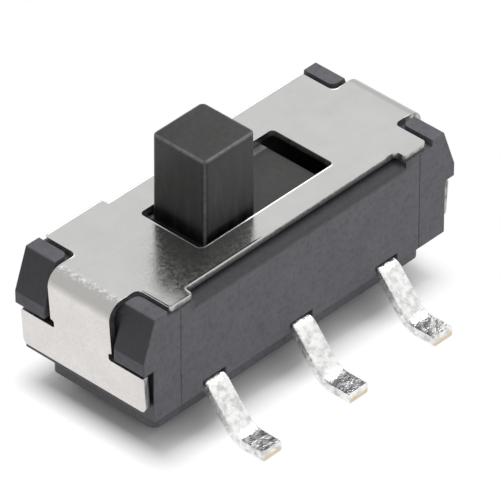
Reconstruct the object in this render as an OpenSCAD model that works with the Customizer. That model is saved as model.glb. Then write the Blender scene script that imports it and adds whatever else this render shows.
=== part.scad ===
// Sub-miniature surface-mount slide switch, single pole, two positions.
// Frame: X along the length, the terminals leave on the -Y side, +Z up.
// z = 0 is the plane of the terminal feet and of the tips of the locating pegs.
// The slider is drawn at the -X end of its travel.

/* [Base] */
// Length of the base over its corner pillars
base_length = 9.0; // [7.5:0.1:11]
// Width of the base over its long faces
base_width = 3.5; // [3:0.1:4.2]
// Height of the lower edge of the walls above the feet
wall_underside = 1.0; // [0.7:0.05:1.3]
// How far the plinth reaches below the walls
plinth_drop = 0.57; // [0.3:0.01:0.65]
// How far the plinth stands in from the walls, all round
plinth_inset = 0.33; // [0.2:0.01:0.5]
// Height of the cavity's floor above the lower edge of the walls
floor_rise = 0.17; // [0.1:0.01:0.3]
// How far the rim outside the cover lies below the cover's seat
rim_drop = 0.08; // [0.04:0.01:0.15]
// Chamfer along the ends of the walls, under the cover's bends
end_chamfer = 0.15; // [0.1:0.01:0.2]
// Chamfer along the rim's outer edge
rim_chamfer = 0.06; // [0.02:0.01:0.12]
// Corner radius of the plinth
plinth_round = 0.2; // [0.05:0.01:0.3]
// Width of the upright mould lines on the long faces
mould_line = 0.03; // [0.02:0.01:0.08]
// Distance of the mould lines from the ends of the base
mould_line_place = 1.05; // [0.9:0.01:1.3]

/* [Pillars] */
// Length of a corner pillar
pillar_length = 0.69; // [0.5:0.01:0.9]
// How far a pillar's outer face stands in at the top
pillar_top_setback = 0.33; // [0.2:0.01:0.5]
// Height of the upright part of a pillar's outer face, above the ledge
pillar_upright = 0.3; // [0.1:0.01:0.6]
// Height of the ledge under the pillars, above the feet
pillar_ledge = 2.27; // [1.9:0.01:2.5]
// Radius of a pillar's inner corner, beside the cover's neck
pillar_round = 0.15; // [0.05:0.01:0.25]

/* [Locating pegs] */
// Distance between the two pegs
peg_spacing = 6; // [4:0.1:6.6]
// Diameter of a peg
peg_diameter = 0.8; // [0.6:0.05:1]
// Chamfer at a peg's tip
peg_chamfer = 0.02; // [0.01:0.01:0.03]

/* [Cover] */
// Height of the cover's top face above the feet
cover_top = 3.5; // [3:0.1:4.2]
// Thickness of the sheet
sheet = 0.15; // [0.1:0.01:0.2]
// Inner radius of the bends at the ends
bend_radius = 0.2; // [0.1:0.01:0.3]
// Lean of the end tabs towards the base, in degrees
tab_lean = 4; // [0:0.5:6]
// Half width of the neck between plate and tab
neck_half_width = 0.83; // [0.6:0.01:0.95]
// Half width of the tab's arms
arm_half_width = 1.66; // [1.3:0.01:1.68]
// Height of the arms' lower edge above the feet
arm_low = 1.26; // [1.2:0.01:1.5]
// Gap between the arms' upper edge and the ledge of the pillars
arm_gap = 0.13; // [0.03:0.01:0.2]
// Corner radius of the arms
arm_round = 0.12; // [0.04:0.01:0.2]
// Length of an ear along the cover
ear_length = 0.66; // [0.4:0.01:0.9]
// How far an ear stands in from the base's long face
ear_setback = 0.05; // [0:0.01:0.1]
// How far the front edge between the ears stands in from the base's long face
front_setback = 0.29; // [0.15:0.01:0.4]
// How far the recess in the back edge stands in from the base's long face
back_setback = 0.22; // [0.15:0.01:0.4]
// Start of the recess in the back edge, from the middle
back_start = -2.1; // [-2.8:0.1:-1]
// End of the recess in the back edge, from the middle
back_end = 1.5; // [1:0.1:2.8]
// Radius of the inner corners of the front and back edges
ear_round = 0.08; // [0.03:0.01:0.15]
// Radius of the notch's inner corner, beside the neck
notch_round = 0.13; // [0.05:0.01:0.3]
// Radius of the round relief where the neck meets an arm
relief_round = 0.09; // [0.04:0.01:0.12]

/* [Slider] */
// Travel of the slider between its two positions
travel = 1.9; // [1.5:0.1:2]
// Length of the slider's carriage
carriage_length = 5.14; // [4.6:0.01:5.2]
// Width of the carriage
carriage_width = 2.3; // [1.9:0.05:2.4]
// Length of the handle
handle_length = 1.47; // [1:0.01:1.7]
// Width of the handle
handle_width = 1.45; // [1:0.01:1.5]
// Height of the handle above the cover
handle_height = 1.89; // [1:0.01:3]
// Radius of the handle's upright edges
handle_round = 0.12; // [0.03:0.01:0.2]
// Chamfer round the handle's top
handle_chamfer = 0.04; // [0.02:0.01:0.1]
// Clearance between slot and handle, to each side
slot_gap = 0.1; // [0.04:0.01:0.2]
// Clearance between slot and handle at each end of the travel
slot_end_gap = 0.22; // [0.1:0.01:0.3]
// Corner radius of the slot
slot_round = 0.1; // [0.03:0.01:0.2]

/* [Terminals] */
// Distance between neighbouring terminals
pitch = 2.5; // [2.2:0.05:2.8]
// Width of a terminal's leg
leg_width = 0.54; // [0.4:0.01:0.7]
// Thickness of the terminal strip
leg_thickness = 0.25; // [0.15:0.01:0.3]
// Slope of the leg between base and foot, in degrees
leg_slope = 49; // [40:1:60]
// How far a foot's tip stands out from the base's long face
leg_reach = 1.56; // [1.3:0.01:1.9]
// Inner radius of the leg's bend beside the base
knee_bend = 0.12; // [0.05:0.01:0.2]
// Inner radius of the leg's bend above the foot
ankle_bend = 0.36; // [0.1:0.01:0.4]
// Length of an outer contact pad along the travel
outer_pad_length = 1.3; // [1:0.05:1.4]
// Length of the common contact pad along the travel
common_pad_length = 1.2; // [0.9:0.05:1.3]
// Width of the contact pads
pad_width = 1.2; // [1:0.05:1.5]

/* [Moving contact] */
// Thickness of the contact spring
spring_sheet = 0.12; // [0.08:0.01:0.15]
// Width of the contact spring
spring_width = 0.9; // [0.7:0.01:1]
// Slope of the spring's arms, in degrees
spring_slope = 49; // [45:1:55]
// Inner radius of the spring's bends
spring_bend = 0.12; // [0.08:0.01:0.2]
// Height of the slider's seat for the spring, above the pads
spring_height = 1.05; // [0.9:0.01:1.2]
// Width of the slit between the two fingers at each end
finger_slit = 0.14; // [0.08:0.01:0.2]
// Distance of a slit's inner end from the middle of the spring
slit_start = 0.9; // [0.7:0.01:1]

/* [Hidden] */
$fn = 48;

// Gaps
running_gap = 0.05;   // between the slider and what guides it
floor_gap = 0.15;     // between the carriage and the cavity's floor
stop_gap = 0.03;      // between the carriage and the cavity's end, at each stop
pillar_gap = 0.11;    // between the cover's notch and a pillar
tab_gap = 0.01;       // between the tabs and the faces they press on
notch_gap = 0.05;     // round a leg, where it leaves the wall
contact_gap = 0.01;   // between the moving contact and the pads
overlap = 0.01;       // how far a cut runs past the face it opens
bend_step = 11;       // degrees between the points of a bend's arc

// Heights
plinth_underside = wall_underside - plinth_drop;
floor_top = wall_underside + floor_rise;
seat = cover_top - sheet;
rim_top = seat - rim_drop;
arm_top = pillar_ledge - arm_gap;
handle_top = cover_top + handle_height;
carriage_top = seat - running_gap;
carriage_underside = floor_top + floor_gap;
pocket_ceiling = floor_top + spring_height;

// Cover, end view and plan
sheet_mid = seat + sheet / 2;
bend_mid = bend_radius + sheet / 2;
bend_setback = bend_mid * tan((90 + tab_lean) / 2);
fold_x = base_length / 2 - bend_radius - sheet + bend_setback;
tab_end_x = fold_x - tan(tab_lean) * (sheet_mid - arm_low);
pillar_x = base_length / 2 - pillar_length;
ear_end = pillar_x - pillar_gap;
ear_start = ear_end - ear_length;
ear_half_width = base_width / 2 - ear_setback;
front_edge = base_width / 2 - front_setback;
back_edge = base_width / 2 - back_setback;
slot_half_length = handle_length / 2 + travel / 2 + slot_end_gap;
slot_half_width = handle_width / 2 + slot_gap;

// Base, plan
end_face = tab_end_x - sheet / 2 / cos(tab_lean) - tab_gap;
pocket_depth = 0.12;  // of the recess behind a tab's arms
pocket_lip = 0.03;    // wall left at each side of that recess
pocket_sill = 0.15;   // how far its lower edge lies above the arms' lower edge
cavity_half_length = carriage_length / 2 + travel / 2 + stop_gap;
cavity_half_width = carriage_width / 2 + running_gap;
pillar_inner = neck_half_width + pillar_gap;
plinth_half_length = end_face - plinth_inset;
plinth_half_width = base_width / 2 - plinth_inset;

// Slider and moving contact
rest_x = -travel / 2;
contact_x = pitch / 2;
spring_mid = pocket_ceiling - spring_sheet / 2;
contact_mid = floor_top + contact_gap + spring_sheet / 2;
contact_corner = contact_mid - (spring_bend + spring_sheet / 2) * (1 / cos(spring_slope) - 1);
spring_seat_half = contact_x - (spring_mid - contact_corner) / tan(spring_slope);
tip_reach = 0.35;     // from a contact point to the spring's end, along the travel
tip_height = contact_corner + tip_reach * tan(spring_slope);
spring_end_x = contact_x + tip_reach;
pocket_half_length = spring_end_x + spring_sheet;
pocket_half_width = spring_width / 2 + running_gap;

// Terminals: the leg's path, as a side view with the distance from the centre line and the height
leg_mid = floor_top - leg_thickness / 2;
foot_mid = leg_thickness / 2;
knee_out = base_width / 2;
ankle_out = knee_out + (leg_mid - foot_mid) / tan(leg_slope);
tip_out = base_width / 2 + leg_reach;

// Direction from a to b
function heading(a, b) = (b - a) / norm(b - a);

// Direction turned a quarter turn to the left
function left_of(d) = [-d[1], d[0]];

// Angle turned at b on the way from a to c, positive to the left
function turn(a, b, c) = let (u = heading(a, b), v = heading(b, c))
    atan2(u[0] * v[1] - u[1] * v[0], u * v);

// Vector v turned by an angle
function turned(v, angle) = [v[0] * cos(angle) - v[1] * sin(angle), v[0] * sin(angle) + v[1] * cos(angle)];

// Centre of the bend at point i of a path whose centre line bends at a radius
function bend_centre(path, i, radius) =
    let (a = left_of(heading(path[i - 1], path[i])), b = left_of(heading(path[i], path[i + 1])))
    path[i] + (a + b) * sign(turn(path[i - 1], path[i], path[i + 1])) * radius / (1 + a * b);

// Points of the arc that a strip's side, off to the left of its centre line, makes round bend i
function bend_arc(path, i, off, radius) =
    let (angle = turn(path[i - 1], path[i], path[i + 1]),
         arm = left_of(heading(path[i - 1], path[i])) * (off - sign(angle) * radius),
         steps = ceil(abs(angle) / bend_step))
    [for (k = [0:steps]) bend_centre(path, i, radius) + turned(arm, angle * k / steps)];

// Points of a strip's side, off to the left of its centre line, with a radius for each bend of that line
function side_points(path, off, radii) =
    let (last = len(path) - 1)
    concat(
        [path[0] + left_of(heading(path[0], path[1])) * off],
        [for (i = [1:last - 1]) each bend_arc(path, i, off, radii[i - 1])],
        [path[last] + left_of(heading(path[last - 1], path[last])) * off]
    );

// Side view of a bent strip: straight runs along the path, with an arc of its own inner radius at each bend
module bent_strip(path, thickness, inner_radii) {
    radii = [for (r = inner_radii) r + thickness / 2];
    left = side_points(path, thickness / 2, radii);
    right = side_points(path, -thickness / 2, radii);
    polygon(concat(left, [for (i = [len(right) - 1:-1:0]) right[i]]));
}

// Rectangle with rounded corners, centred on the origin
module rounded_rectangle(length, width, radius) {
    square([length - 2 * radius, width], center = true);
    square([length, width - 2 * radius], center = true);
    for (x = [-1, 1], y = [-1, 1])
        translate([x * (length / 2 - radius), y * (width / 2 - radius)]) circle(radius);
}

// Rectangle from the origin, with the corner at the origin rounded
module corner_plan(length, width, radius) {
    difference() {
        square([length, width]);
        difference() {
            square(radius);
            translate([radius, radius]) circle(radius);
        }
    }
}

// Block centred in plan, between two heights
module slab(length, width, low, high) {
    translate([-length / 2, -width / 2, low]) cube([length, width, high - low]);
}

// Children drawn at all four corners, mirrored across X and Y
module at_corners() {
    for (x = [0, 1], y = [0, 1])
        mirror([x, 0, 0]) mirror([0, y, 0]) children();
}

// Children drawn at both ends, mirrored across X
module at_ends() {
    for (x = [0, 1])
        mirror([x, 0, 0]) children();
}

// Side view in the XZ plane, extruded to a width centred on Y
module across(width) {
    translate([0, width / 2, 0]) rotate([90, 0, 0]) linear_extrude(width) children();
}

// Side view with the distance towards the terminals and the height, extruded along X
module lengthwise(length) {
    translate([-length / 2, 0, 0]) rotate([90, 0, -90]) mirror([0, 0, 1]) linear_extrude(length) children();
}

// One corner pillar: rounded inner corner beside the cover, outer face upright above the ledge, then sloped
module pillar() {
    end = base_length / 2;
    intersection() {
        translate([pillar_x, pillar_inner, 0])
            linear_extrude(cover_top) corner_plan(pillar_length, base_width / 2 - pillar_inner, pillar_round);
        across(base_width)
            polygon([
                [0, wall_underside], [end_face, wall_underside],
                [end_face, pillar_ledge], [end, pillar_ledge], [end, pillar_ledge + pillar_upright],
                [end - pillar_top_setback, cover_top], [0, cover_top]
            ]);
    }
}

// Walls round the cavity: chamfered under the cover's bends, with a lower rim outside the cover's edges
module walls() {
    difference() {
        across(base_width)
            polygon([
                [-end_face, wall_underside], [end_face, wall_underside],
                [end_face, seat - end_chamfer], [end_face - end_chamfer, seat],
                [-end_face + end_chamfer, seat], [-end_face, seat - end_chamfer]
            ]);
        rim_cut(-ear_start, ear_start, front_edge);
        mirror([0, 1, 0]) rim_cut(back_start, back_end, back_edge);
    }
}

// What is cut from the top of the front wall outside an edge of the cover, with the rim's chamfer
module rim_cut(start, end, edge) {
    inner = edge - rim_drop;
    outer = base_width / 2 + overlap;
    translate([(start + end) / 2, 0, 0]) lengthwise(end - start)
        polygon([
            [inner, rim_top], [base_width / 2 - rim_chamfer, rim_top], [outer, rim_top - rim_chamfer - overlap],
            [outer, cover_top], [inner, cover_top]
        ]);
}

// Recess behind the arms of a tab, above a low sill and between thin lips
module tab_pocket() {
    half_width = base_width / 2 - pocket_lip;
    translate([end_face - pocket_depth, -half_width, arm_low + pocket_sill])
        cube([base_length, 2 * half_width, pillar_ledge - arm_low - pocket_sill]);
}

// Round peg under the plinth, with a chamfered tip at z = 0
module peg() {
    rotate_extrude()
        polygon([
            [0, 0], [peg_diameter / 2 - peg_chamfer, 0], [peg_diameter / 2, peg_chamfer],
            [peg_diameter / 2, plinth_underside + overlap], [0, plinth_underside + overlap]
        ]);
}

// Contact pad on the cavity's floor
module pad(pad_length) {
    slab(pad_length, pad_width, floor_top - leg_thickness, floor_top);
}

// Leg from the pad out through the wall and down to the foot
module leg() {
    lengthwise(leg_width)
        bent_strip([[0, leg_mid], [knee_out, leg_mid], [ankle_out, foot_mid], [tip_out, foot_mid]],
            leg_thickness, [knee_bend, ankle_bend]);
}

// Room that a terminal takes up inside the plinth
module embedded_strip(pad_length) {
    pad(pad_length);
    translate([-leg_width / 2, -plinth_half_width, floor_top - leg_thickness])
        cube([leg_width, plinth_half_width, leg_thickness]);
}

// Opening in the wall round a leg
module leg_notch() {
    width = leg_width + 2 * notch_gap;
    translate([-width / 2, -base_width / 2 - overlap, wall_underside - overlap])
        cube([width, base_width / 2 - plinth_half_width + overlap, floor_rise + notch_gap + overlap]);
}

module terminal(pad_length) {
    pad(pad_length);
    leg();
}

// Upright groove of square section, set edge first into a long face
module mould_groove() {
    side = mould_line / sqrt(2);
    translate([base_length / 2 - mould_line_place, base_width / 2, wall_underside - overlap])
        linear_extrude(cover_top) rotate(45) square(side, center = true);
}

module base() {
    color([0.27, 0.27, 0.29])
    difference() {
        union() {
            walls();
            translate([0, 0, plinth_underside])
                linear_extrude(floor_top - plinth_underside)
                    rounded_rectangle(2 * plinth_half_length, 2 * plinth_half_width, plinth_round);
            at_corners() pillar();
            for (x = [-1, 1]) translate([x * peg_spacing / 2, 0, 0]) peg();
        }
        slab(2 * cavity_half_length, 2 * cavity_half_width, floor_top, cover_top);
        at_ends() tab_pocket();
        for (i = [-1:1])
            translate([i * pitch, 0, 0]) {
                embedded_strip(i == 0 ? common_pad_length : outer_pad_length);
                leg_notch();
            }
        at_corners() mould_groove();
    }
}

module cover() {
    color([0.79, 0.79, 0.78])
    difference() {
        across(2 * ear_half_width)
            bent_strip([
                [-tab_end_x, arm_low], [-fold_x, sheet_mid], [fold_x, sheet_mid], [tab_end_x, arm_low]
            ], sheet, [bend_radius, bend_radius]);
        translate([0, 0, seat - overlap])
            linear_extrude(sheet + 2 * overlap)
                rounded_rectangle(2 * slot_half_length, 2 * slot_half_width, slot_round);
        mirror([0, 1, 0]) edge_cut(-ear_start, ear_start, front_edge);
        edge_cut(back_start, back_end, back_edge);
        at_corners() {
            notch_cut();
            arm_cut();
        }
    }
}

// What is cut from the plate beyond its back edge, with rounded inner corners
module edge_cut(start, end, edge) {
    translate([0, 0, seat - overlap])
        linear_extrude(sheet + 2 * overlap)
            intersection() {
                translate([start, edge]) corner_plan(end - start, base_width, ear_round);
                translate([end, edge]) mirror([1, 0]) corner_plan(end - start, base_width, ear_round);
            }
}

// What is cut between an ear and the neck, down to the tab's arm, with a round relief at its foot
module notch_cut() {
    translate([ear_end, neck_half_width, arm_top + relief_round])
        linear_extrude(cover_top) corner_plan(base_length, base_width, notch_round);
    translate([ear_end, 0, arm_top + relief_round])
        rotate([90, 0, 90]) linear_extrude(base_length) {
            translate([neck_half_width, 0]) circle(relief_round);
            translate([neck_half_width, -relief_round]) square([base_width, 2 * relief_round]);
        }
}

// What is cut from a tab outside its arm, with the arm's rounded lower corner
module arm_cut() {
    translate([ear_end, arm_half_width, arm_low])
        rotate([90, 0, 90]) linear_extrude(base_length)
            difference() {
                translate([-arm_round, -arm_round]) square([base_width, cover_top]);
                translate([-base_width, arm_round]) square([base_width, cover_top]);
                translate([-arm_round, arm_round]) circle(arm_round);
            }
}

module slider() {
    color([0.24, 0.24, 0.24])
    translate([rest_x, 0, 0]) {
        difference() {
            slab(carriage_length, carriage_width, carriage_underside, carriage_top);
            slab(2 * pocket_half_length, 2 * pocket_half_width, 0, pocket_ceiling);
        }
        handle();
    }
}

// Handle: rounded upright edges, chamfered top
module handle() {
    intersection() {
        translate([0, 0, pocket_ceiling])
            linear_extrude(handle_top - pocket_ceiling)
                rounded_rectangle(handle_length, handle_width, handle_round);
        across(base_width) handle_outline(handle_length / 2);
        rotate([0, 0, 90]) across(base_length) handle_outline(handle_width / 2);
    }
}

// Side view of the handle with its chamfered top
module handle_outline(half) {
    polygon([
        [-half, pocket_ceiling], [half, pocket_ceiling], [half, handle_top - handle_chamfer],
        [half - handle_chamfer, handle_top], [-half + handle_chamfer, handle_top],
        [-half, handle_top - handle_chamfer]
    ]);
}

// Contact spring: a bridge with two rounded contact points, split into fingers at each end
module moving_contact() {
    color([0.80, 0.66, 0.42])
    translate([rest_x, 0, 0])
        difference() {
            across(spring_width)
                bent_strip([
                    [-spring_end_x, tip_height], [-contact_x, contact_corner],
                    [-spring_seat_half, spring_mid], [spring_seat_half, spring_mid],
                    [contact_x, contact_corner], [spring_end_x, tip_height]
                ], spring_sheet, [for (bend = [1:4]) spring_bend]);
            at_ends() translate([slit_start, -finger_slit / 2, floor_top])
                cube([contact_x, finger_slit, seat]);
        }
}

module terminal_1() {
    color([0.86, 0.86, 0.84]) translate([-pitch, 0, 0]) terminal(outer_pad_length);
}

module terminal_common() {
    color([0.86, 0.86, 0.84]) terminal(common_pad_length);
}

module terminal_2() {
    color([0.86, 0.86, 0.84]) translate([pitch, 0, 0]) terminal(outer_pad_length);
}

base();
cover();
slider();
moving_contact();
terminal_1();
terminal_common();
terminal_2();
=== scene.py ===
"""Looks of a sub-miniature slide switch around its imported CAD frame: sheet cover, moulded base,
square handle, bent terminals, and the stage they stand on. Shapes are worked out in
millimetres, and MM turns them into the metres of the frame."""

import math

import bmesh
import bpy
import numpy as np
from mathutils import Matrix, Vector
from mathutils.geometry import delaunay_2d_cdt


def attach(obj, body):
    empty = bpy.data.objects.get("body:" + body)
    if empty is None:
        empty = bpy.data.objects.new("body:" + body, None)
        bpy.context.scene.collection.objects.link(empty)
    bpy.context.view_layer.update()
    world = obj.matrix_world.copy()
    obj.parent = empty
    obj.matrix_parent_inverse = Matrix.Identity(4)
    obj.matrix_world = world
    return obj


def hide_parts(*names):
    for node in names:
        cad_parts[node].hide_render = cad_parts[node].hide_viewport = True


MM = 0.001

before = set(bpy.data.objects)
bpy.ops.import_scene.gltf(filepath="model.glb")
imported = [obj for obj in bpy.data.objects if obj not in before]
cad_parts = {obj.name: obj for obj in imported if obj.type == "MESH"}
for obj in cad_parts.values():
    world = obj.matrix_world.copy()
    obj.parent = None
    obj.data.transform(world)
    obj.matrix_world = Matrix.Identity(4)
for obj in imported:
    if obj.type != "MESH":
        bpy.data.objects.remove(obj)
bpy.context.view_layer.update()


# Materials

class Finish:
    """A material under construction: its node tree and short ways to add to it.
    An input is a plain value, or the output of another node."""

    def __init__(self, name):
        self.material = bpy.data.materials.new(name)
        self.material.use_nodes = True
        self.tree = self.material.node_tree
        self.tree.nodes.clear()
        self.shader = self.add("ShaderNodeBsdfPrincipled")
        self.output = self.add("ShaderNodeOutputMaterial")
        self.tree.links.new(self.shader.outputs["BSDF"], self.output.inputs["Surface"])
        self.place = self.add("ShaderNodeTexCoord").outputs["Object"]

    def add(self, kind, inputs=None, **settings):
        """New node of a kind, with its inputs by name or number and its own settings."""
        node = self.tree.nodes.new(kind)
        for key, value in settings.items():
            setattr(node, key, value)
        for key, value in (inputs or {}).items():
            self.put(node.inputs[key], value)
        return node

    def put(self, socket, value):
        """Links a socket to another node's output, or writes a plain value into it."""
        if isinstance(value, bpy.types.NodeSocket):
            self.tree.links.new(value, socket)
        else:
            socket.default_value = value

    def set(self, **values):
        """Sets the shader's sockets, by their names with underscores for spaces."""
        for key, value in values.items():
            self.put(self.shader.inputs[key.replace("_", " ")], value)

    def axis(self, name):
        """One coordinate of the place on the piece, in metres."""
        return self.add("ShaderNodeSeparateXYZ", {"Vector": self.place}).outputs[name]

    def stretched(self, x=1.0, y=1.0, z=1.0):
        """The place on the piece in millimetres, each axis scaled on its own."""
        return self.add("ShaderNodeMapping", {
            "Vector": self.place, "Scale": (x / MM, y / MM, z / MM)}).outputs["Vector"]

    def noise(self, per_mm, detail=3.0, roughness=0.5, place=None):
        """Soft noise between 0 and 1 with that many blobs a millimetre."""
        return self.add("ShaderNodeTexNoise", {
            "Vector": place or self.stretched(), "Scale": per_mm, "Detail": detail,
            "Roughness": roughness}).outputs["Fac"]

    def cells(self, per_mm):
        """Distance to the nearest of scattered points, that many a millimetre."""
        return self.add("ShaderNodeTexVoronoi", {
            "Vector": self.stretched(), "Scale": per_mm}).outputs["Distance"]

    def span(self, value, low, high, to_low=0.0, to_high=1.0):
        """Value carried from low..high to to_low..to_high, and held there outside."""
        return self.add("ShaderNodeMapRange", {
            "Value": value, "From Min": low, "From Max": high,
            "To Min": to_low, "To Max": to_high}).outputs["Result"]

    def maths(self, operation, *values):
        """One step of arithmetic on plain values or outputs."""
        return self.add("ShaderNodeMath", dict(enumerate(values)), operation=operation).outputs[0]

    def blend(self, share, first, second):
        """Colour between first and second."""
        node = self.add("ShaderNodeMix", data_type="RGBA")
        self.put(node.inputs["Factor"], share)
        self.put(node.inputs[6], first)
        self.put(node.inputs[7], second)
        return node.outputs[2]

    def product(self, *values):
        """The values multiplied together."""
        whole = values[0]
        for value in values[1:]:
            whole = self.maths("MULTIPLY", whole, value)
        return whole

    def size(self, name):
        """Size of one coordinate of the place on the piece, whatever its sign."""
        return self.maths("ABSOLUTE", self.axis(name))

    def relief(self, height, depth, under=None):
        """Bump whose height runs over that depth in metres, on top of another bump."""
        inputs = {"Height": height, "Distance": depth}
        if under is not None:
            inputs["Normal"] = under
        return self.add("ShaderNodeBump", inputs).outputs["Normal"]


def grey(red, green=None, blue=None):
    """Colour with full alpha from one to three linear values."""
    green = red if green is None else green
    blue = red if blue is None else blue
    return (red, green, blue, 1.0)


def moulded_nylon():
    """Dark blue-grey filled nylon: cloudy and mottled skin, a few pale fibre ends, painted shade
    along the long rims under the cover's edge, and painted shade on the slopes of the corner
    pillars."""
    f = Finish("moulded_nylon")
    cloud = f.noise(1.6, 3.0, 0.55)
    mottle = f.noise(9.0, 4.0, 0.65)
    colour = f.blend(f.span(cloud, 0.3, 0.7), grey(0.074, 0.073, 0.084), grey(0.094, 0.092, 0.106))
    colour = f.blend(f.span(mottle, 0.25, 0.75, 0.0, 0.55), colour, grey(0.108, 0.106, 0.120))
    colour = f.blend(f.span(mottle, 0.50, 0.25, 0.0, 0.55), colour, grey(0.036, 0.035, 0.042))
    fibres = f.span(f.cells(11.0), 0.09, 0.03, 0.0, 0.4)
    colour = f.blend(fibres, colour, grey(0.17, 0.17, 0.18))
    # Painted shade: a dark band along the long rims of the base, just under the cover's edge.
    rim = f.product(f.span(f.axis("Z"), 3.12 * MM, 3.20 * MM, 0.0, 0.6),
                    f.span(f.size("X"), 3.2 * MM, 3.0 * MM))
    colour = f.blend(rim, colour, grey(0.018))
    # Painted shade: faces that lean back from the ends, picked by their normals, are darkened.
    sloped = f.add("ShaderNodeAttribute", attribute_name="sloped").outputs["Fac"]
    f.set(Base_Color=f.blend(f.product(sloped, 0.75), colour, grey(0.012, 0.012, 0.014)),
          Roughness=f.span(f.noise(6.0, 3.0), 0.3, 0.7, 0.36, 0.50),
          IOR=1.5,
          Specular_IOR_Level=0.32,
          Normal=f.relief(f.noise(24.0, 2.0), 0.0014 * MM, f.relief(mottle, 0.006 * MM)))
    return f.material


def satin_sheet():
    """Plated steel sheet: satin and finely speckled, faint rolling lines along the length, and the
    skin broken into grains where the sheet is stretched round the bend at -X, their pale colour a
    painted highlight. A painted dark reflection lies on the bend, and the tabs are painted paler
    and warmer than the plate, as a painted reflection."""
    f = Finish("satin_sheet")
    lines = f.noise(9.0, 3.0, 0.6, f.stretched(0.12, 1.0, 0.4))
    cloud = f.noise(1.6, 4.0, 0.6)
    speckle = f.noise(17.0, 3.0, 0.7)
    grain = f.noise(30.0, 2.0, 0.6)
    along, height = f.size("X"), f.axis("Z")
    # Bumped grains of stretched skin at the start of the bend at -X; their pale colour is a painted
    # highlight.
    crazing_and_highlight = f.product(f.span(along, 4.07 * MM, 4.15 * MM), f.span(along, 4.33 * MM, 4.22 * MM),
                        f.span(f.noise(13.0, 3.0, 0.6), 0.45, 0.70),
                        f.span(f.axis("X"), 0.0, -1.0 * MM))
    # Painted dark reflection: a darker band on the upper curve of the bend.
    turned = f.product(f.span(along, 4.11 * MM, 4.21 * MM), f.span(height, 3.14 * MM, 3.33 * MM))
    # Plate and tab are lit and shaded copies of one sheet: the tab's paler, warmer colour is a
    # painted reflection.
    plate = f.blend(f.span(cloud, 0.3, 0.7), grey(0.55, 0.555, 0.54), grey(0.60, 0.595, 0.585))
    tab = f.blend(f.span(cloud, 0.3, 0.7), grey(0.72, 0.69, 0.675), grey(0.79, 0.755, 0.735))
    colour = f.blend(f.span(height, 3.36 * MM, 3.20 * MM), plate, tab)
    colour = f.blend(turned, colour, grey(0.44, 0.425, 0.41))
    colour = f.blend(f.span(speckle, 0.35, 0.65, 0.0, 0.22), colour, grey(0.50, 0.50, 0.49))
    f.set(Base_Color=f.blend(crazing_and_highlight, colour, grey(0.80)),
          Metallic=1.0,
          Roughness=f.span(speckle, 0.35, 0.65, 0.13, 0.27),
          Normal=f.relief(crazing_and_highlight, 0.002 * MM,
                          f.relief(grain, 0.0011 * MM, f.relief(lines, 0.0005 * MM))))
    return f.material


def sheared_steel():
    """Cut edge of the sheet: burnished in short streaks, torn and dark between them."""
    f = Finish("sheared_steel")
    streaks = f.noise(7.0, 4.0, 0.65, f.stretched(1.0, 1.0, 0.3))
    torn = f.span(streaks, 0.42, 0.60)
    f.set(Base_Color=f.blend(torn, grey(0.50, 0.50, 0.49), grey(0.22, 0.22, 0.215)),
          Metallic=1.0,
          Roughness=f.span(torn, 0.0, 1.0, 0.30, 0.60),
          Normal=f.relief(streaks, 0.012 * MM))
    return f.material


def moulded_handle():
    """Charcoal moulded plastic with a soft sheen and upright wipe marks, painted shade darkening
    it towards its foot, and painted highlights making its edges paler.
    """
    f = Finish("moulded_handle")
    cloud = f.noise(1.8, 4.0, 0.55)
    marks = f.span(f.noise(6.0, 4.0, 0.6, f.stretched(1.0, 1.0, 0.18)), 0.50, 0.75)
    mottle = f.noise(10.0, 3.0, 0.65)
    colour = f.blend(f.span(cloud, 0.3, 0.7), grey(0.018, 0.018, 0.017), grey(0.027, 0.027, 0.026))
    colour = f.blend(f.span(mottle, 0.35, 0.70, 0.0, 0.5), colour, grey(0.044, 0.044, 0.043))
    # Painted shade: the handle is darkened from near its top down to its foot, most at the foot.
    share = f.span(f.axis("Z"), CARRIAGE_TOP * MM, HANDLE_TOP * MM)
    foot = f.product(f.span(share, 0.0, 0.04), f.span(share, 0.05, 0.95, 0.97, 0.0))
    colour = f.blend(foot, colour, grey(0.002))
    # Painted highlight: paler bands along the handle's top edges and upright corners, broken by the
    # mottle.
    along = f.maths("ABSOLUTE", f.maths("SUBTRACT", f.axis("X"), REST[0] * MM))
    by_end = f.span(along, (HANDLE_HALF_LENGTH - EDGE_HIGHLIGHT_START) * MM,
                    (HANDLE_HALF_LENGTH - EDGE_HIGHLIGHT_FULL) * MM)
    by_side = f.span(f.size("Y"), (HANDLE_HALF_WIDTH - EDGE_HIGHLIGHT_START) * MM,
                     (HANDLE_HALF_WIDTH - EDGE_HIGHLIGHT_FULL) * MM)
    by_top = f.span(f.axis("Z"), (HANDLE_TOP - 0.07) * MM, (HANDLE_TOP - 0.02) * MM)
    border = f.product(f.maths("MAXIMUM", by_end, by_side), by_top)
    painted_edge_highlight = f.product(f.maths("MAXIMUM", f.product(by_end, by_side), border),
                       f.span(mottle, 0.25, 0.6, 0.25, 0.75))
    colour = f.blend(f.product(marks, 0.4), colour, grey(0.050))
    f.set(Base_Color=f.blend(painted_edge_highlight, colour, grey(0.19)),
          Roughness=f.span(cloud, 0.3, 0.7, 0.32, 0.42),
          IOR=1.5,
          Specular_IOR_Level=0.30,
          Normal=f.relief(f.noise(22.0, 2.0), 0.0012 * MM, f.relief(mottle, 0.004 * MM)))
    return f.material


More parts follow.
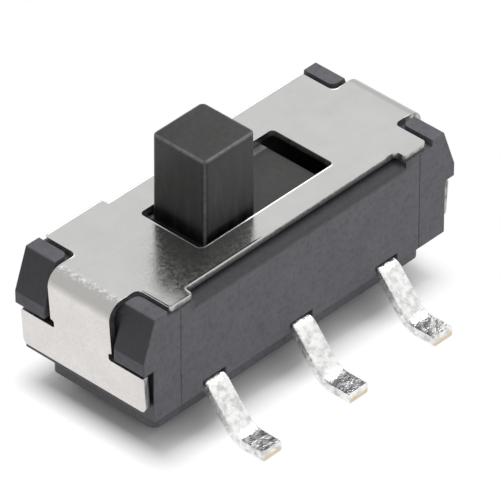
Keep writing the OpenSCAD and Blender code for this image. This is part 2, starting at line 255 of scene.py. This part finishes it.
def bright_tin():
    """Tin plating on the terminals: bright, uneven, with small dull islands; the cut ends of
    the feet show the warm metal of the strip along their lower edge."""
    f = Finish("bright_tin")
    swell = f.noise(4.0, 3.0, 0.55)
    islands = f.span(f.noise(7.0, 5.0, 0.65), 0.42, 0.62)
    tin = f.blend(islands, grey(0.93, 0.93, 0.92), grey(0.62, 0.62, 0.615))
    bare = f.product(f.span(f.axis("Y"), -(TIP_OUT - 0.03) * MM, -(TIP_OUT - 0.005) * MM),
                     f.span(f.axis("Z"), 0.16 * MM, 0.10 * MM))
    f.set(Base_Color=f.blend(bare, tin, grey(0.72, 0.60, 0.42)),
          Metallic=1.0,
          Roughness=f.span(islands, 0.0, 1.0, 0.20, 0.46),
          Normal=f.relief(f.noise(16.0, 4.0), 0.004 * MM, f.relief(swell, 0.03 * MM)))
    return f.material


def spring_bronze():
    """Rolled bronze of the moving contact."""
    f = Finish("spring_bronze")
    lines = f.noise(14.0, 3.0, 0.6, f.stretched(0.1, 1.0, 1.0))
    f.set(Base_Color=f.blend(lines, grey(0.70, 0.52, 0.28), grey(0.80, 0.64, 0.38)),
          Metallic=1.0,
          Roughness=f.span(lines, 0.3, 0.7, 0.22, 0.36),
          Normal=f.relief(lines, 0.001 * MM))
    return f.material


# Shapes, worked out as arrays in millimetres

ARC_STEPS = 8
OUTLINE_STEP = 0.05
LINE_STEP = 0.04
EDGE_ROUND = 0.025
LEAST_EDGE, LEAST_GAP = 3 * EDGE_ROUND, 2.5 * EDGE_ROUND
SEAT = 3.35
RIM_LOW, RIM_END = 3.15, 3.1
MERGE, LEVEL = 0.0004, 0.001
SMOOTH_BELOW = SHARP_FROM = math.radians(30)
FLAT_BELOW, ROUND_BELOW = math.radians(0.8), math.radians(32)
LEAN_UP, LEAN_OUT = (0.10, 0.25), (0.80, 0.92)


def rounded_path(corners):
    """Closed outline with rounded corners. A corner is x, y and a radius: its arc touches both
    neighbouring sides, so its centre lies on the corner's bisector, radius / sin(half the
    corner's angle) away from the corner."""
    points = np.array([corner[:2] for corner in corners], float)
    pieces = []
    for i, (here, radius) in enumerate(zip(points, [corner[2] for corner in corners])):
        if radius == 0:
            pieces.append(here[None])
            continue
        before, after = points[i - 1] - here, points[(i + 1) % len(points)] - here
        u, v = before / np.linalg.norm(before), after / np.linalg.norm(after)
        half = math.acos(np.clip(u @ v, -1, 1)) / 2
        centre = here + (u + v) / np.linalg.norm(u + v) * radius / math.sin(half)
        first = here + u * radius / math.tan(half) - centre
        last = here + v * radius / math.tan(half) - centre
        start = math.atan2(first[1], first[0])
        sweep = (math.atan2(last[1], last[0]) - start + math.pi) % (2 * math.pi) - math.pi
        angles = start + sweep * np.linspace(0, 1, ARC_STEPS + 1)
        pieces.append(centre + radius * np.stack([np.cos(angles), np.sin(angles)], axis=1))
    return np.concatenate(pieces)


def divided(outline, longest):
    """The outline with its long sides cut into equal parts no longer than longest."""
    ends = np.roll(outline, -1, axis=0)
    parts = np.maximum(1, np.ceil(np.linalg.norm(ends - outline, axis=1) / longest)).astype(int)
    start = np.repeat(np.arange(len(outline)), parts)
    share = (np.arange(len(start)) - np.repeat(np.cumsum(parts) - parts, parts)) / parts[start]
    return outline[start] + (ends - outline)[start] * share[:, None]


def set_in(outline, distance):
    """An anticlockwise outline moved inwards: each point goes along the mitre of its two
    sides' inward normals."""
    def inward(side):
        """Unit normals to the left of the sides."""
        side = side / np.linalg.norm(side, axis=1)[:, None]
        return np.stack([-side[:, 1], side[:, 0]], axis=1)
    before = inward(outline - np.roll(outline, 1, axis=0))
    after = inward(np.roll(outline, -1, axis=0) - outline)
    return outline + (before + after) * distance / (1 + (before * after).sum(axis=1))[:, None]


def new_piece(name, points, faces, materials, body, node):
    """Mesh of points in millimetres, riding on a CAD body and standing for a CAD node."""
    mesh = bpy.data.meshes.new(name)
    mesh.from_pydata((np.asarray(points) * MM).tolist(), [], faces)
    piece = bpy.data.objects.new(name, mesh)
    bpy.context.scene.collection.objects.link(piece)
    for material in materials:
        mesh.materials.append(material)
    mesh.shade_smooth()
    mesh.set_sharp_from_angle(angle=SMOOTH_BELOW)
    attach(piece, body)
    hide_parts(node)
    return piece


def rounded_ring(half_length, half_width, radius, height, middle=(0.0, 0.0)):
    """Level ring round a rectangle with round corners, always with the same number of points:
    each corner is a quarter circle of ARC_STEPS parts."""
    quarters = np.repeat(np.arange(4), ARC_STEPS + 1)
    angles = (quarters + np.tile(np.linspace(0, 1, ARC_STEPS + 1), 4)) * math.pi / 2
    x = np.array([1, -1, -1, 1])[quarters] * (half_length - radius) + radius * np.cos(angles)
    y = np.array([1, 1, -1, -1])[quarters] * (half_width - radius) + radius * np.sin(angles)
    return np.stack([x + middle[0], y + middle[1], np.full(len(x), height)], axis=1)


def lofted(rings):
    """Closed surface through rings of equal length, from the first, which is capped, to the
    last, which is capped too: ring i joins ring i + 1 by a band of quads. The faces point
    outwards where each ring turns anticlockwise, seen from the last ring's side."""
    count, size = len(rings), len(rings[0])
    row = np.arange(count - 1)[:, None] * size
    here, there = np.arange(size)[None], np.roll(np.arange(size), -1)[None]
    bands = np.stack([row + here, row + there, row + size + there, row + size + here], axis=-1)
    faces = [list(range(size))[::-1]] + bands.reshape(-1, 4).tolist()
    faces.append(list(range((count - 1) * size, count * size)))
    return np.concatenate(rings), faces


def read_array(items, name, width, kind):
    """One property of every item of a mesh, as a whole array, a row of width values each."""
    values = np.empty(len(items) * width, kind)
    items.foreach_get(name, values)
    return values.reshape(-1, width)


def united(first, second):
    """Union of two closed surfaces that overlap: the one closed surface round the points
    that are inside either of them."""
    solids = []
    for points, faces in (first, second):
        mesh = bpy.data.meshes.new("solid")
        mesh.from_pydata(points.tolist(), [], faces)
        solids.append(bpy.data.objects.new("solid", mesh))
        bpy.context.scene.collection.objects.link(solids[-1])
    union = solids[0].modifiers.new("union", "BOOLEAN")
    union.operation = "UNION"
    union.solver = "EXACT"
    union.object = solids[1]
    whole = solids[0].evaluated_get(bpy.context.evaluated_depsgraph_get()).to_mesh()
    points = read_array(whole.vertices, "co", 3, np.float32).astype(float)
    corners = read_array(whole.loops, "vertex_index", 1, np.int32).ravel()
    starts = read_array(whole.polygons, "loop_start", 1, np.int32).ravel()
    faces = [face.tolist() for face in np.split(corners, starts[1:])]
    for solid in solids:
        mesh = solid.data
        bpy.data.objects.remove(solid)
        bpy.data.meshes.remove(mesh)
    return points, faces


def quarter(radius, steps=4):
    """Quarter round for an edge: how far in and how far down each point lies, from the
    flat face to the side, as radius * (1 - sine) and radius * (1 - cosine)."""
    angle = np.linspace(0, math.pi / 2, steps + 1)
    return radius * (1 - np.sin(angle)), radius * (1 - np.cos(angle))


def bent_line(corners, radii):
    """Places and left-hand normals along a line of straight runs joined by arcs of the given
    radii, in the line's plane. An arc starts radius * tan(half its turn) before its corner."""
    corners = np.array(corners, float)
    places, normals = [], []
    run_start = corners[0]
    for i in range(1, len(corners)):
        heading = (corners[i] - corners[i - 1]) / np.linalg.norm(corners[i] - corners[i - 1])
        left = np.array([-heading[1], heading[0]])
        if i == len(corners) - 1:
            run_end, reach = corners[i], 0
        else:
            onward = (corners[i + 1] - corners[i]) / np.linalg.norm(corners[i + 1] - corners[i])
            turn = math.atan2(heading[0] * onward[1] - heading[1] * onward[0], heading @ onward)
            reach = radii[i - 1] * math.tan(abs(turn) / 2)
            run_end = corners[i] - heading * reach
        parts = max(2, math.ceil(np.linalg.norm(run_end - run_start) / LINE_STEP))
        share = np.linspace(0, 1, parts + 1)[:, None]
        places.append(run_start + (run_end - run_start) * share)
        normals.append(np.tile(left, (parts + 1, 1)))
        if reach:
            side = math.copysign(1, turn)
            centre = run_end + left * side * radii[i - 1]
            angle = turn * np.linspace(0, 1, ARC_STEPS + 2)[1:-1]
            spoke = -left * side
            turned = np.stack([spoke[0] * np.cos(angle) - spoke[1] * np.sin(angle),
                               spoke[0] * np.sin(angle) + spoke[1] * np.cos(angle)], axis=1)
            places.append(centre + turned * radii[i - 1])
            normals.append(-turned * side)
            run_start = corners[i] + onward * reach
    return np.concatenate(places), np.concatenate(normals)


def distance_to(point, edge):
    """Distance from a point to an edge, along the edge's length or to its nearer end."""
    start, end = edge.verts[0].co, edge.verts[1].co
    share = (point - start).dot(end - start) / (end - start).length_squared
    return (point - start.lerp(end, min(max(share, 0), 1))).length


def crowded(edge):
    """Whether another edge of the same face, with no end in common, comes too close."""
    return any(min([distance_to(end.co, other) for end in edge.verts]
                   + [distance_to(end.co, edge) for end in other.verts]) < LEAST_GAP * MM
               for face in edge.link_faces for other in face.edges
               if not set(edge.verts) & set(other.verts))


def by_cover(edge):
    """Whether an edge lies on the plane of the cover's seat, or along the rims beside it."""
    ends = [end.co for end in edge.verts]
    return (all(abs(end.z - SEAT * MM) < LEVEL * MM for end in ends)
            or all(RIM_LOW * MM < end.z < SEAT * MM and abs(end.x) < RIM_END * MM
                   for end in ends))


def round_edges(surface):
    """Rounds the outward edges that turn by more than a third of a right angle and have room,
    except by the cover."""
    edges = [edge for edge in surface.edges
             if edge.is_convex and edge.calc_face_angle() > SHARP_FROM
             and edge.calc_length() > LEAST_EDGE * MM
             and not by_cover(edge) and not crowded(edge)]
    rounds = set(bmesh.ops.bevel(
        surface, geom=edges, offset=EDGE_ROUND * MM, offset_type="OFFSET", segments=3,
        profile=0.5, affect="EDGES", clamp_overlap=False)["faces"])
    for edge in surface.edges:
        first, second = edge.link_faces
        edge.smooth = ((first in rounds) == (second in rounds)
                       and edge.calc_face_angle() < ROUND_BELOW)
    bmesh.ops.triangulate(surface, faces=[face for face in surface.faces if len(face.verts) > 4])
    for face in surface.faces:
        face.smooth = True


def mark_slopes(mesh):
    """Attribute "sloped" of each face: 1 where it leans back from an end, as on the pillars.
    It is a ramp of the normal's Z over LEAN_UP, times one of its |X| over LEAN_OUT."""
    normals = read_array(mesh.polygons, "normal", 3, np.float32)
    upward = np.interp(normals[:, 2], LEAN_UP, (0, 1))
    outward = np.interp(np.abs(normals[:, 0]), LEAN_OUT, (0, 1))
    # The attribute is the mask of the painted shade on the slopes of the base's pillars.
    mesh.attributes.new("sloped", "FLOAT", "FACE").data.foreach_set("value", upward * outward)


def finished_copy(node, name, material, body):
    """The node's own mesh as one connected surface: coincident points merged, flat
    neighbours joined into one face, outward edges rounded and slopes marked."""
    piece = bpy.data.objects.new(name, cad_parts[node].data.copy())
    bpy.context.scene.collection.objects.link(piece)
    surface = bmesh.new()
    surface.from_mesh(piece.data)
    bmesh.ops.remove_doubles(surface, verts=surface.verts, dist=MERGE * MM)
    bmesh.ops.dissolve_limit(surface, angle_limit=FLAT_BELOW,
                             verts=surface.verts, edges=surface.edges)
    round_edges(surface)
    surface.to_mesh(piece.data)
    surface.free()
    mark_slopes(piece.data)
    piece.data.materials.clear()
    piece.data.materials.append(material)
    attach(piece, body)
    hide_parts(node)


# Pieces

def cover_outline():
    """Flat blank of the cover, anticlockwise: distance along the unbent sheet, then across.
    One end's corners are mirrored for its other half, and turned half round for the far end."""
    crisp, inner, relief_inner, ear = 0.035, 0.11, 0.054, 0.09
    end = [(EAR_END, -EAR_HALF, ear), (EAR_END, -NECK_HALF, NOTCH_ROUND),
           (RELIEF_TOP, -NECK_HALF, crisp), (RELIEF_TOP, -RELIEF_DEEP, relief_inner),
           (ARM_TOP, -RELIEF_DEEP, relief_inner), (ARM_TOP, -ARM_HALF, crisp),
           (TAB_END, -ARM_HALF, ARM_ROUND)]
    end += [(s, -y, r) for s, y, r in end[::-1]]
    front = [(-EAR_START, -EAR_HALF, ear), (-EAR_START, -FRONT_EDGE, inner),
             (EAR_START, -FRONT_EDGE, inner), (EAR_START, -EAR_HALF, ear)]
    back = [(BACK_STOP, EAR_HALF, ear), (BACK_STOP, BACK_EDGE, BACK_ROUND),
            (BACK_START, BACK_EDGE, BACK_ROUND), (BACK_START, EAR_HALF, ear)]
    return rounded_path(front + end + back + [(-s, -y, r) for s, y, r in end])


def outside_slot(places, margin):
    """Whether a place on the blank lies outside the slot by a margin: its distance from the
    rectangle that the slot's corner centres make is over the corner's radius and the margin."""
    corner = np.array([SLOT_HALF_LENGTH - SLOT_ROUND, SLOT_HALF_WIDTH - SLOT_ROUND])
    return np.linalg.norm(np.maximum(np.abs(places) - corner, 0), axis=1) > SLOT_ROUND + margin


def bent_cover(s, y, t):
    """Place on the cover of a point at s along the sheet's middle, y across and t through it:
    level up to the bend, round the bend's centre by s / radius, then straight down the tab."""
    beyond = np.abs(s) - BEND_START
    angle = np.clip(beyond / BEND_MIDDLE, 0, TAB_TURN)
    down = np.maximum(beyond - TAB_TURN * BEND_MIDDLE, 0)
    radius = BEND_MIDDLE + t
    x = np.minimum(np.abs(s), BEND_START) + radius * np.sin(angle) + down * np.cos(angle)
    z = SHEET_MIDDLE - BEND_MIDDLE + radius * np.cos(angle) - down * np.sin(angle)
    return np.stack([np.sign(s) * x, y, z], axis=1)


def sheet_cover():
    """Pressed cover: the blank's outline and the slot carried from face to face, over the low
    lip that the punch leaves round the plate's edges and down the sheared wall, the faces
    filled, and the whole bent at both ends. Towards the tabs the lip fades to a plain edge."""
    outer = divided(cover_outline(), OUTLINE_STEP)
    slot = rounded_ring(SLOT_HALF_LENGTH, SLOT_HALF_WIDTH, SLOT_ROUND, 0)[:, :2]
    slot = divided(slot, OUTLINE_STEP)[::-1]
    low_in, low_down = quarter(BURR, 2)
    insets = np.concatenate([LIP[:, 0], low_in[::-1]])
    rises = np.concatenate([LIP[:, 1], low_down[::-1] - SHEET])
    half = SHEET / 2
    rows = len(insets)
    flats, throughs = [], []
    for line in (outer, slot):
        lip = np.clip((LIP_STOP - np.abs(line[:, 0])) / LIP_FADE, 0, 1)[:, None]
        for inset, rise in zip(insets, rises):
            flats.append(set_in(line, inset * (LIP_LEAST + (1 - LIP_LEAST) * lip)))
            throughs.append(half + rise * np.where(rise > 0, lip[:, 0], 1))
    outer_rows, slot_rows = flats[:rows], flats[rows:]
    flat, through = np.concatenate(flats), np.concatenate(throughs)

    def walls(start, size):
        """Quads between each row of points and the next, outward for an anticlockwise row."""
        row = start + np.arange(rows - 1)[:, None] * size
        here, there = np.arange(size)[None], np.roll(np.arange(size), -1)[None]
        return np.stack([row + there, row + here, row + size + here, row + size + there],
                        axis=-1).reshape(-1, 4).tolist()

    slot_start = rows * len(outer)
    faces = walls(0, len(outer)) + walls(slot_start, len(slot))

    bend = np.linspace(BEND_START, BEND_START + TAB_TURN * BEND_MIDDLE, BEND_LINES)
    along = np.concatenate([np.arange(0, BEND_START - 0.1, GRID_STEP), bend,
                            np.arange(bend[-1] + 0.2, TAB_END, GRID_STEP)])
    along = np.unique(np.concatenate([-along, along]))
    across = np.linspace(-GRID_HALF, GRID_HALF, GRID_LINES)
    grid = np.stack(np.meshgrid(along, across, indexing="ij"), axis=-1).reshape(-1, 2)
    for line in (outer_rows[0], slot_rows[0]):
        gap = np.linalg.norm(grid[:, None] - line[None], axis=2).min(axis=1)
        grid = grid[gap > OUTLINE_STEP]

    for row, side in ((0, 1), (rows - 1, -1)):
        rims = [np.arange(len(outer)) + row * len(outer),
                np.arange(len(slot)) + slot_start + row * len(slot)]
        start = len(flat)
        flat = np.concatenate([flat, grid])
        through = np.concatenate([through, np.full(len(grid), side * half)])
        used = np.concatenate(rims + [np.arange(start, start + len(grid))])
        edges, at = [], 0
        for rim in rims:
            edges += [(at + i, at + (i + 1) % len(rim)) for i in range(len(rim))]
            at += len(rim)
        found = delaunay_2d_cdt([Vector(p) for p in flat[used].tolist()], edges, [], 1, 1e-6)
        triangles = used[np.array([origin[0] for origin in found[3]])][np.array(found[2])]
        solid = outside_slot(flat[triangles].mean(axis=1), insets[row])
        faces += triangles[solid][:, ::side].tolist()
    points = bent_cover(flat[:, 0], flat[:, 1], through)
    piece = new_piece("sheet_cover", points, faces, [sheet_metal, cut_edge],
                      "housing", "cover")
    sheared = np.arange(rows - 1) == len(LIP) - 1
    wall_finish = np.concatenate([np.repeat(sheared, len(line)) for line in (outer, slot)])
    finish = np.zeros(len(faces), int)
    finish[:len(wall_finish)] = wall_finish
    piece.data.polygons.foreach_set("material_index", finish)


def leg_surface(middle):
    """Terminal leg: a strip's rounded cross section carried along the bent line from within
    the pad to the foot's tip, where it is drawn in a little."""
    line = [(PAD_WIDTH / 2 - PAD_LAP, LEG_MIDDLE), (KNEE_OUT, LEG_MIDDLE),
            (ANKLE_OUT, FOOT_MIDDLE), (TIP_OUT, FOOT_MIDDLE)]
    places, normals = bent_line(line, [KNEE_BEND + STRIP / 2, ANKLE_BEND + STRIP / 2])
    section = rounded_ring(LEG_WIDTH / 2, STRIP / 2, STRIP_ROUND, 0)[:, :2]
    tip = rounded_ring(LEG_WIDTH / 2 - TIP_ROUND, STRIP / 2 - TIP_ROUND,
                       STRIP_ROUND - TIP_ROUND / 2, 0)[:, :2]
    end, facing = places[-1].copy(), normals[-1]
    places[-1] -= np.array([TIP_ROUND, 0])
    rings = [strip_ring(section, place, normal, middle) for place, normal in zip(places, normals)]
    return lofted(rings + [strip_ring(tip, end, facing, middle)])


def strip_ring(section, place, normal, middle):
    """Cross section set square to the strip's line: its first axis along X, its second along
    the line's normal."""
    out = place[0] + section[:, 1] * normal[0]
    return np.stack([middle + section[:, 0], -out, place[1] + section[:, 1] * normal[1]], axis=1)


def pad_surface(middle, length):
    """Contact pad inside the base: a flat plate with broken edges."""
    inset, down = quarter(PAD_EDGE, 2)

    def ring(i, height):
        """Outline of the pad at a height, drawn in by i."""
        return rounded_ring(length / 2 - i, PAD_WIDTH / 2 - i, PAD_ROUND, height, (middle, 0))

    rings = [ring(i, PAD_TOP - d) for i, d in zip(inset, down)]
    rings += [ring(i, PAD_TOP - STRIP + d) for i, d in zip(inset[::-1], down[::-1])]
    return lofted(rings[::-1])


def terminal_strip(node, middle, pad_length):
    """One terminal: leg and pad as a single strip, its middle at that X."""
    points, faces = united(leg_surface(middle), pad_surface(middle, pad_length))
    new_piece(node + "_strip", points, faces, [tin], "housing", node)


def slider_and_handle():
    """Slider: one surface of nested rings, from the middle of the handle's top out and down its
    drafted sides, over the carriage, round under it and up into the pocket of the spring."""
    inset, down = quarter(HANDLE_EDGE)
    rings = [handle_ring(HANDLE_TOP - d, i) for i, d in zip(inset, down)]
    rings += [handle_ring(height, 0)
              for height in np.linspace(SIDE_TOP, CARRIAGE_TOP + HANDLE_FOOT, SIDE_RINGS)]
    inset, down = quarter(HANDLE_FOOT)
    rings += [handle_ring(CARRIAGE_TOP + d, i - HANDLE_FOOT)
              for i, d in zip(inset[::-1], down[::-1])]
    inset, down = quarter(CARRIAGE_EDGE)
    rings += [carriage_ring(CARRIAGE_TOP - d, i) for i, d in zip(inset, down)]
    rings += [carriage_ring(CARRIAGE_LOW + d, i) for i, d in zip(inset[::-1], down[::-1])]
    rings += [rounded_ring(POCKET_HALF_LENGTH, POCKET_HALF_WIDTH, POCKET_ROUND, height, REST)
              for height in (CARRIAGE_LOW, POCKET_CEILING)]
    points, faces = lofted(rings[::-1])
    new_piece("slider_and_handle", points, faces, [handle_plastic],
              "slider", "slider")


def handle_ring(height, inset):
    """Ring round the handle, which narrows by its draft from foot to top."""
    draft = HANDLE_DRAFT * (height - CARRIAGE_TOP) / (HANDLE_TOP - CARRIAGE_TOP)
    return rounded_ring(HANDLE_HALF_LENGTH - draft - inset, HANDLE_HALF_WIDTH - draft - inset,
                        HANDLE_ROUND - max(inset, 0) / 2, height, REST)


def carriage_ring(height, inset):
    """Ring round the carriage, drawn in by the inset."""
    return rounded_ring(CARRIAGE_HALF_LENGTH - inset, CARRIAGE_HALF_WIDTH - inset,
                        CARRIAGE_ROUND, height, REST)


# Cover, in millimetres
SHEET = 0.15
SHEET_MIDDLE = 3.425
BEND_MIDDLE = 0.275
TAB_TURN = math.radians(94)
BEND_START = 4.15
TAB_END = 6.4766
EAR_START, EAR_END, EAR_HALF = 3.04, 3.70, 1.70
FRONT_EDGE, BACK_EDGE, BACK_START, BACK_STOP = 1.46, 1.53, -2.1, 1.5
NECK_HALF, NOTCH_ROUND, BACK_ROUND = 0.83, 0.13, 0.07
ARM_TOP, ARM_HALF, ARM_ROUND = 5.5942, 1.66, 0.12
RELIEF_TOP, RELIEF_DEEP = 5.4142, 0.74
SLOT_HALF_LENGTH, SLOT_HALF_WIDTH, SLOT_ROUND = 1.905, 0.825, 0.1
BURR, LIP_STOP, LIP_FADE, LIP_LEAST = 0.012, 4.05, 0.3, 0.35
GRID_STEP, GRID_HALF, GRID_LINES, BEND_LINES = 0.25, 1.6, 17, 17
LIP = np.array([[0.062, 0], [0.040, 0], [0.032, 0.0015], [0.020, 0.006], [0.011, 0.006],
                [0.004, -0.001], [0, -0.022]])

# Slider, in millimetres
REST = (-0.95, 0.0)
HANDLE_TOP, HANDLE_HALF_LENGTH, HANDLE_HALF_WIDTH = 5.39, 0.735, 0.725
HANDLE_ROUND, HANDLE_EDGE, HANDLE_FOOT, HANDLE_DRAFT = 0.12, 0.045, 0.04, 0.01
SIDE_TOP, SIDE_RINGS = HANDLE_TOP - 0.2, 6
CARRIAGE_TOP, CARRIAGE_LOW = 3.30, 1.32
CARRIAGE_HALF_LENGTH, CARRIAGE_HALF_WIDTH = 2.57, 1.15
CARRIAGE_ROUND, CARRIAGE_EDGE = 0.1, 0.06
POCKET_HALF_LENGTH, POCKET_HALF_WIDTH, POCKET_ROUND, POCKET_CEILING = 1.72, 0.5, 0.05, 2.22
# How far in from the handle's edges the painted edge highlight starts and where it is full.
EDGE_HIGHLIGHT_START, EDGE_HIGHLIGHT_FULL = 0.075, 0.035

# Terminals, in millimetres
STRIP, STRIP_ROUND, TIP_ROUND = 0.25, 0.05, 0.03
LEG_WIDTH, PAD_WIDTH = 0.54, 1.2
PAD_TOP, PAD_LAP, PAD_ROUND, PAD_EDGE = 1.17, 0.1, 0.05, 0.02
PITCH, OUTER_PAD, MIDDLE_PAD = 2.5, 1.3, 1.2
LEG_MIDDLE, FOOT_MIDDLE = 1.045, 0.125
KNEE_OUT, ANKLE_OUT, TIP_OUT = 1.75, 2.5497, 3.31
KNEE_BEND, ANKLE_BEND = 0.12, 0.36

nylon = moulded_nylon()
sheet_metal = satin_sheet()
cut_edge = sheared_steel()
handle_plastic = moulded_handle()
tin = bright_tin()
finished_copy("base", "moulded_base", nylon, "housing")
sheet_cover()
slider_and_handle()
terminal_strip("terminal_1", -PITCH, OUTER_PAD)
terminal_strip("terminal_common", 0.0, MIDDLE_PAD)
terminal_strip("terminal_2", PITCH, OUTER_PAD)
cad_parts["moving_contact"].material_slots[0].material = spring_bronze()


# Stage: floor, light and camera

SKY_HORIZON, SKY_RISE, SKY_LEAN, SKY_FRONT, SKY_FORWARD = 0.12, 0.92, 0.22, 1.65, -0.7
PAPER = 0.82
FOOTPRINT = (3.85 * MM, 1.65 * MM, 0)
SHADOW_REACH = 0.6 * MM
FLOOR_HALF = 200 * MM


def white_surround():
    """Even white to the eye and in metal. As soft light it is brightest overhead: it dims
    towards the horizon, more to the left, and it is paler towards the front."""
    world = bpy.data.worlds.new("surround")
    bpy.context.scene.world = world
    world.use_nodes = True
    tree = world.node_tree
    tree.nodes.clear()

    def add(kind, *values):
        """New node, with its first inputs linked or written in order."""
        node = tree.nodes.new(kind)
        for socket, value in zip(node.inputs, values):
            if isinstance(value, bpy.types.NodeSocket):
                tree.links.new(value, socket)
            elif value is not None:
                socket.default_value = value
        return node

    def maths(operation, *values):
        """One step of arithmetic."""
        node = add("ShaderNodeMath", *values)
        node.operation = operation
        return node.outputs[0]

    way = add("ShaderNodeSeparateXYZ", tree.nodes.new("ShaderNodeTexCoord").outputs["Generated"])
    leaning = maths("MULTIPLY_ADD", way.outputs["X"], SKY_LEAN, SKY_HORIZON)
    overhead = maths("MULTIPLY_ADD", way.outputs["Z"], SKY_RISE, leaning)
    front = add("ShaderNodeMapRange", way.outputs["Y"], SKY_FORWARD, 0.0, SKY_FRONT, 1.0).outputs[0]
    level = maths("MULTIPLY", overhead, front)
    white = (1, 1, 1, 1)
    lit = add("ShaderNodeBackground", white, level)
    seen = add("ShaderNodeBackground", white, 1.0)
    rays = add("ShaderNodeLightPath").outputs
    direct = maths("MAXIMUM", rays["Is Camera Ray"],
                   maths("MAXIMUM", rays["Is Glossy Ray"], rays["Is Transmission Ray"]))
    mix = add("ShaderNodeMixShader", direct, lit.outputs[0], seen.outputs[0])
    add("ShaderNodeOutputWorld", mix.outputs[0])


def pale_floor():
    """Floor under the feet: white paper that keeps the switch's shadow. To the eye and in metal
    it goes over to plain white with the distance from the switch's footprint."""
    mesh = bpy.data.meshes.new("floor")
    corners = FLOOR_HALF * np.array([(-1, -1, 0), (1, -1, 0), (1, 1, 0), (-1, 1, 0)])
    mesh.from_pydata(corners.tolist(), [], [(0, 1, 2, 3)])
    floor = bpy.data.objects.new("floor", mesh)
    bpy.context.scene.collection.objects.link(floor)
    f = Finish("white_paper")
    f.set(Base_Color=grey(PAPER), Roughness=1.0, Specular_IOR_Level=0.0)

    def vectors(operation, *values):
        """The node of one step of arithmetic on vectors."""
        return f.add("ShaderNodeVectorMath", dict(enumerate(values)), operation=operation).outputs

    beyond = vectors("SUBTRACT", vectors("ABSOLUTE", f.place)[0], FOOTPRINT)[0]
    apart = vectors("LENGTH", vectors("MAXIMUM", beyond, (0, 0, 0))[0])["Value"]
    rays = f.add("ShaderNodeLightPath").outputs
    direct = f.maths("MAXIMUM", rays["Is Camera Ray"],
                     f.maths("MAXIMUM", rays["Is Glossy Ray"], rays["Is Transmission Ray"]))
    share = f.span(apart, 0.0, SHADOW_REACH)
    plain = f.add("ShaderNodeEmission", {"Color": grey(1), "Strength": 1.0})
    mix = f.add("ShaderNodeMixShader", {
        0: f.product(share, direct), 1: f.shader.outputs[0], 2: plain.outputs[0]})
    f.tree.links.new(mix.outputs[0], f.output.inputs["Surface"])
    floor.data.materials.append(f.material)


def soft_lamp(name, azimuth, elevation, distance, size, power):
    """Square area lamp aimed at the switch, placed like a camera by azimuth and elevation."""
    lamp = bpy.data.objects.new(name, bpy.data.lights.new(name, "AREA"))
    lamp.data.size = size * MM
    lamp.data.energy = power
    a, e = math.radians(azimuth), math.radians(elevation)
    away = Vector((math.sin(a) * math.cos(e), -math.cos(a) * math.cos(e), math.sin(e)))
    lamp.location = away * distance * MM
    lamp.rotation_euler = away.to_track_quat("Z", "Y").to_euler()
    bpy.context.scene.collection.objects.link(lamp)


def camera():
    """Long lens, looking down at the near end and the terminals; its field is the width seen
    at the distance of the aim."""
    azimuth, elevation = math.radians(-46.85), math.radians(37.43)
    distance, field, sensor = 150 * MM, 9.9 * MM, 36.0
    aim = Vector((0.0, -0.35 * MM, 2.15 * MM))
    away = Vector((math.sin(azimuth) * math.cos(elevation),
                   -math.cos(azimuth) * math.cos(elevation), math.sin(elevation)))
    eye = bpy.data.objects.new("camera", bpy.data.cameras.new("camera"))
    eye.data.sensor_width = sensor
    eye.data.lens = sensor * distance / field
    eye.data.clip_start = 1 * MM
    eye.data.clip_end = 2.0
    eye.location = aim + away * distance
    eye.rotation_euler = away.to_track_quat("Z", "Y").to_euler()
    bpy.context.scene.collection.objects.link(eye)
    bpy.context.scene.camera = eye


white_surround()
pale_floor()
soft_lamp("key_lamp", azimuth=88, elevation=64, distance=70, size=45, power=0.017)
camera()
bpy.context.scene.view_settings.view_transform = "Standard"
